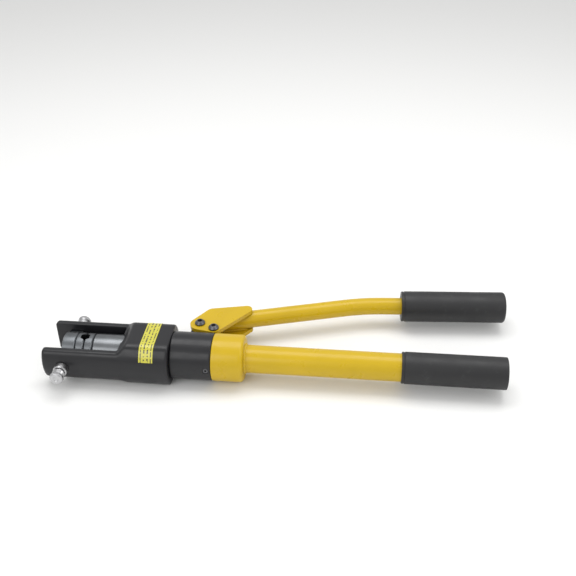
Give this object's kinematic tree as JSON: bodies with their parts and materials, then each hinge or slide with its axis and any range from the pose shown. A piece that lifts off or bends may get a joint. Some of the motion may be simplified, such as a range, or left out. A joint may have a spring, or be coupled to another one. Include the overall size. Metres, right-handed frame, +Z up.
{
  "type": "hydraulic crimping tool",
  "caption": "Hand-operated hydraulic crimping tool with an open H-shaped head, a ram with hexagonal dies, a fixed tube handle and a hinged pump handle.",
  "frame": {"origin": "centre of the head block's flat underside, on the surface that the tool lies on", "axes": "+X along the tool from the head to the grips, +Y towards the moving handle, +Z up"},
  "size_m": [0.5482, 0.2072, 0.0567],
  "materials": {
    "yellow_paint": "gloss",
    "black_paint": "gloss",
    "dark_steel": "satin",
    "die_steel": "satin",
    "ram_steel": "polished",
    "bright_steel": "polished",
    "bronze": "satin",
    "seal_rubber": "matt",
    "grip_rubber": "matt",
    "label_film": "gloss",
    "black_plastic": "matt"
  },
  "bodies": {
    "head": {"head_frame": "black_paint", "anvil_block": "die_steel", "fixed_die": "die_steel", "label_band": "label_film", "rod_wiper": "seal_rubber", "swivel_wire": "bright_steel", "knob_bush_front": "bright_steel", "knob_bush_back": "bright_steel"},
    "ram": {"ram_rod": "ram_steel", "ram_piston": "dark_steel", "piston_seal": "seal_rubber", "moving_die": "die_steel", "return_spring": "bright_steel"},
    "knob_front": {"knob_front": "bright_steel", "knob_spring_front": "bright_steel"},
    "knob_back": {"knob_back": "bright_steel", "knob_spring_back": "bright_steel"},
    "pump": {"pump_body": "black_paint", "nose_seal": "seal_rubber", "outlet_ball": "bright_steel", "outlet_spring": "bright_steel", "inlet_ball": "bright_steel", "inlet_plug": "dark_steel", "plunger_gland": "bronze", "oil_bladder": "seal_rubber", "bladder_clamp": "bright_steel", "filler_plug": "dark_steel", "release_ball": "bright_steel"},
    "release": {"release_spindle": "bright_steel"},
    "plunger": {"plunger": "bright_steel"},
    "fixed_handle": {"handle_collar": "yellow_paint", "release_cam": "dark_steel", "fixed_tube": "yellow_paint", "fixed_grip": "grip_rubber", "fixed_end_plug": "black_plastic"},
    "moving_handle": {"yoke_plate_top": "yellow_paint", "yoke_plate_bottom": "yellow_paint", "fulcrum_bolt": "dark_steel", "fulcrum_nut": "dark_steel", "drive_bolt": "dark_steel", "drive_nut": "dark_steel", "moving_tube": "yellow_paint", "moving_grip": "grip_rubber", "moving_end_plug": "black_plastic"}
  },
  "joints": [
    {"name": "head_swivel", "type": "hinge", "parent": "head", "child": "pump", "pos_m": [0.031, 0, 0.028], "axis": [1, 0, 0], "range_deg": [0, 180]},
    {"name": "ram_slide", "type": "slide", "parent": "head", "child": "ram", "axis": [1, 0, 0], "range_m": [0, 0.022]},
    {"name": "knob_front_pull", "type": "slide", "parent": "head", "child": "knob_front", "axis": [0, -1, 0], "range_m": [0, 0.006], "stiffness_N_per_m": 800, "springref_m": -0.004},
    {"name": "knob_back_pull", "type": "slide", "parent": "head", "child": "knob_back", "axis": [0, 1, 0], "range_m": [0, 0.006], "stiffness_N_per_m": 800, "springref_m": -0.004},
    {"name": "handle_twist", "type": "hinge", "parent": "pump", "child": "fixed_handle", "pos_m": [0.095, 0, 0.028], "axis": [1, 0, 0], "range_deg": [0, 40]},
    {"name": "release_push", "type": "slide", "parent": "pump", "child": "release", "axis": [-1, 0, 0], "range_m": [0, 0.0016]},
    {"name": "handle_swing", "type": "hinge", "parent": "pump", "child": "moving_handle", "pos_m": [0.056, 0.042, 0.028], "axis": [0, 0, 1], "range_deg": [0, 50]},
    {"name": "plunger_stroke", "type": "slide", "parent": "pump", "child": "plunger", "axis": [0, 1, 0], "range_m": [0, 0.0168]}
  ],
  "couplings": [
    {"joint": "release_push", "follows": "handle_twist", "m_per_rad": 0.002149},
    {"joint": "plunger_stroke", "follows": "handle_swing", "m_per_rad": 0.01908}
  ]
}
